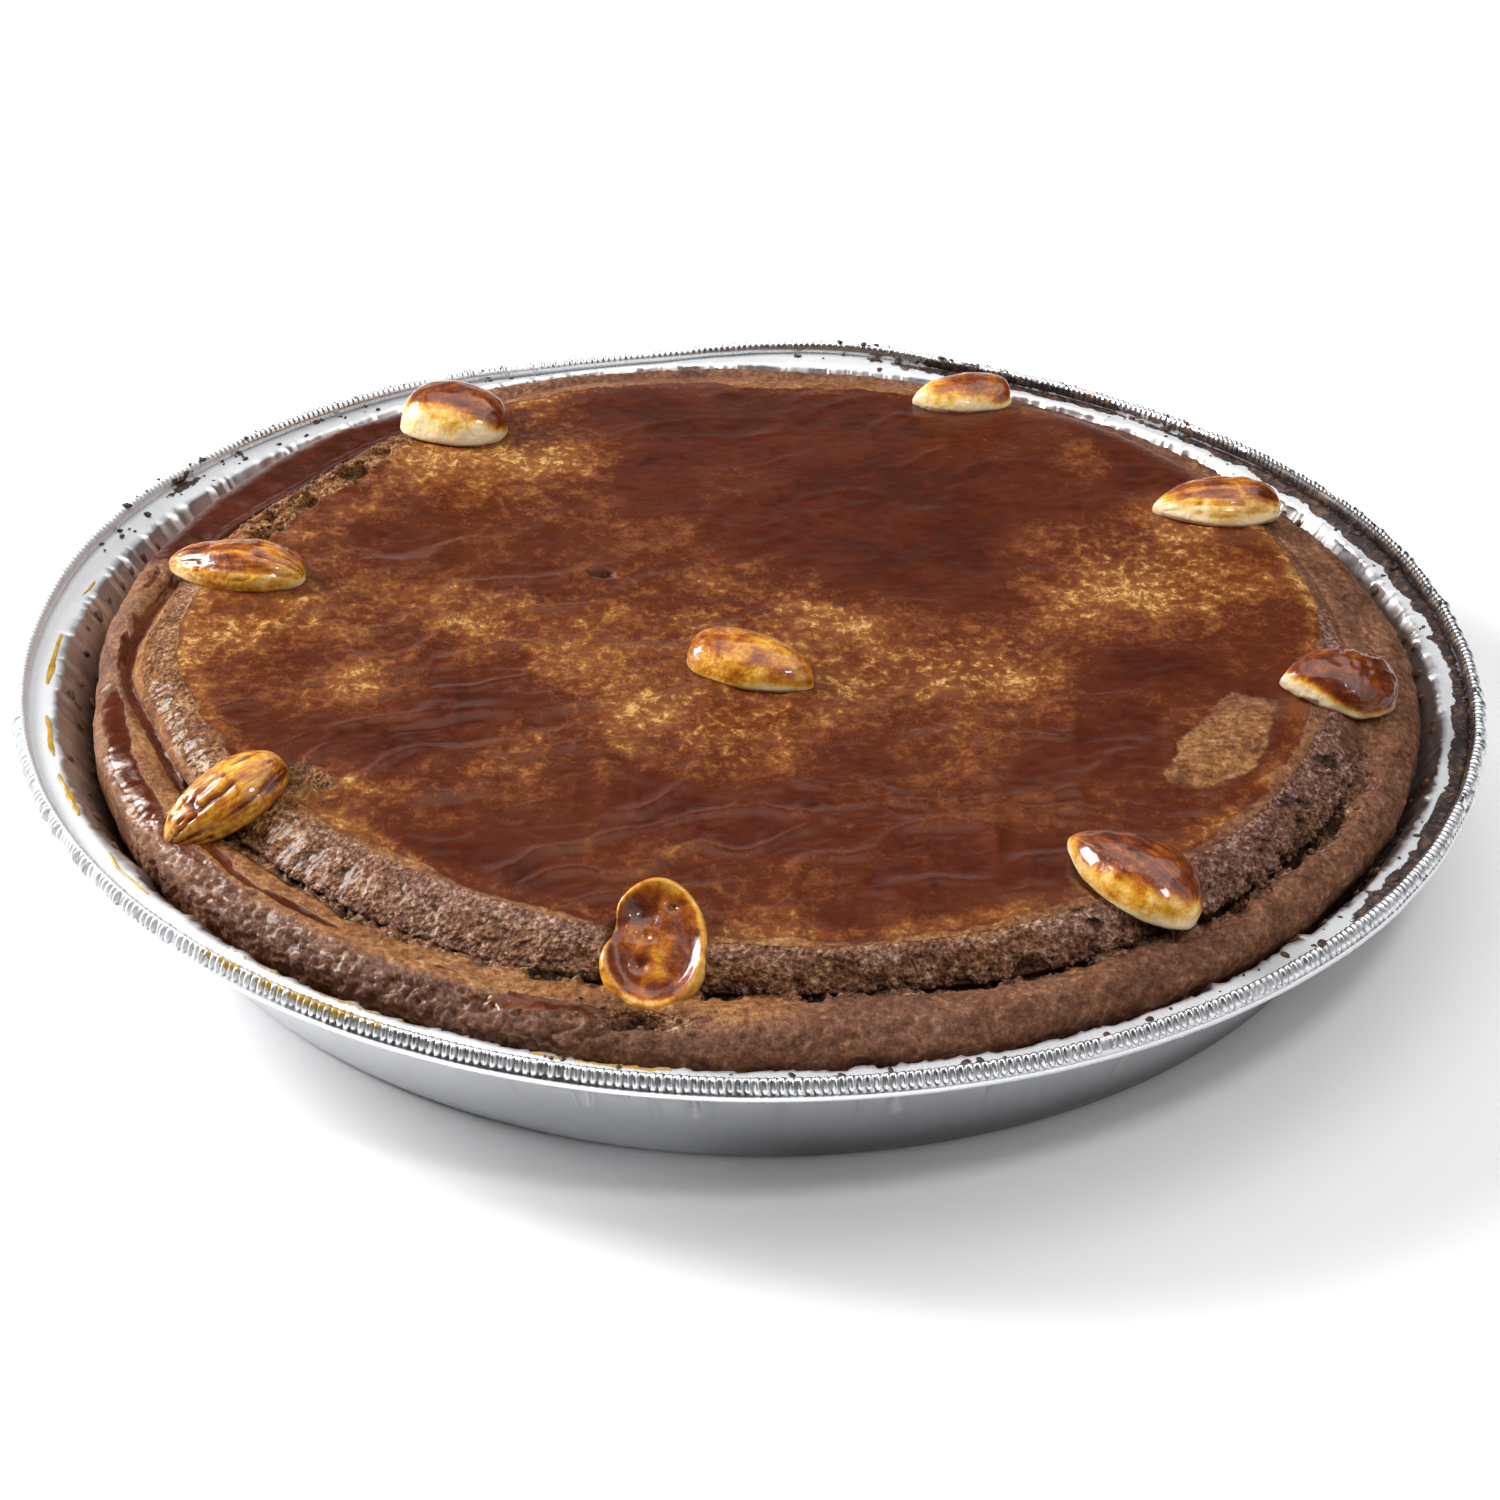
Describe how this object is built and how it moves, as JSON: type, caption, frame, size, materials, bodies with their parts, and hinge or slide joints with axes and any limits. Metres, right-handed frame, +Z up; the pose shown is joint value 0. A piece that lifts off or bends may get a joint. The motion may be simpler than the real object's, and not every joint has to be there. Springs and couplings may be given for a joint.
{
  "type": "speculoos tart",
  "caption": "Whole speculoos tart in its round foil tin: a dark egg-glazed lid with a torn crumbly side, a rounded crust ring and browned almonds set round the edge and in the middle.",
  "frame": {"origin": "centre of the bounding box's underside, on the tin's base", "axes": "+Z up out of the tin. +X and +Y lie in the base, and -Y faces the side with the dished almond"},
  "size_m": [0.2546, 0.25, 0.0406],
  "materials": {
    "foil": "bright pressed foil with fine creases",
    "crust": "baked spiced dough, matte and crumbly, glazed in places",
    "glazed_crust": "dark egg wash, glossy, with golden mottling",
    "almond": "roasted under egg wash, browned on top and pale at the sides"
  },
  "bodies": {
    "root": {"foil_tin": "foil", "lower_crust": "crust", "upper_crust": "glazed_crust", "almond_1": "almond", "almond_2": "almond", "almond_3": "almond", "almond_4": "almond", "almond_5": "almond", "almond_6": "almond", "almond_7": "almond", "almond_8": "almond", "almond_9": "almond"}
  },
  "joints": []
}
